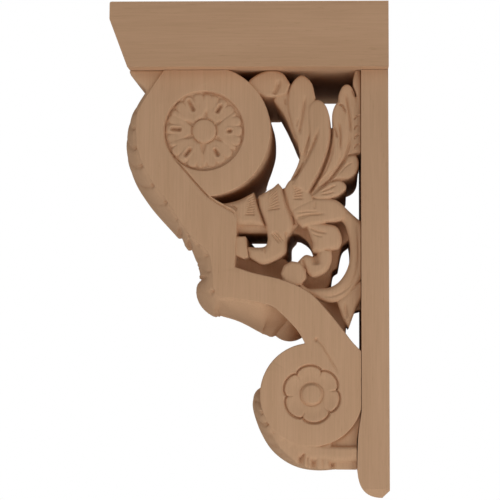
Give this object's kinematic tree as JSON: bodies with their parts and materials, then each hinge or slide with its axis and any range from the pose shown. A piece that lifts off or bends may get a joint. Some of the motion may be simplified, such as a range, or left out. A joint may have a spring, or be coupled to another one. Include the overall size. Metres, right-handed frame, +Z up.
{
  "type": "carved wooden corbel bracket",
  "caption": "Carved hardwood corbel bracket with a moulded cap, a flat back plate and a pierced scroll body with rosettes and acanthus leaves.",
  "frame": {"origin": "centre of the back plate's flat back face, where the corbel is fixed to the wall", "axes": "+Z up, +Y into the wall so the scroll's front points to -Y, +X across the width to the side that the picture shows"},
  "size_m": [0.127, 0.1886, 0.333],
  "materials": {
    "cap_wood": "sanded bare hardwood, grain level along the side",
    "plate_wood": "sanded bare hardwood, grain upright",
    "carved_wood": "carved and sanded bare hardwood, grain upright"
  },
  "bodies": {
    "root": {"cap": "cap_wood", "back_plate": "plate_wood", "carved_body": "carved_wood"}
  },
  "joints": []
}
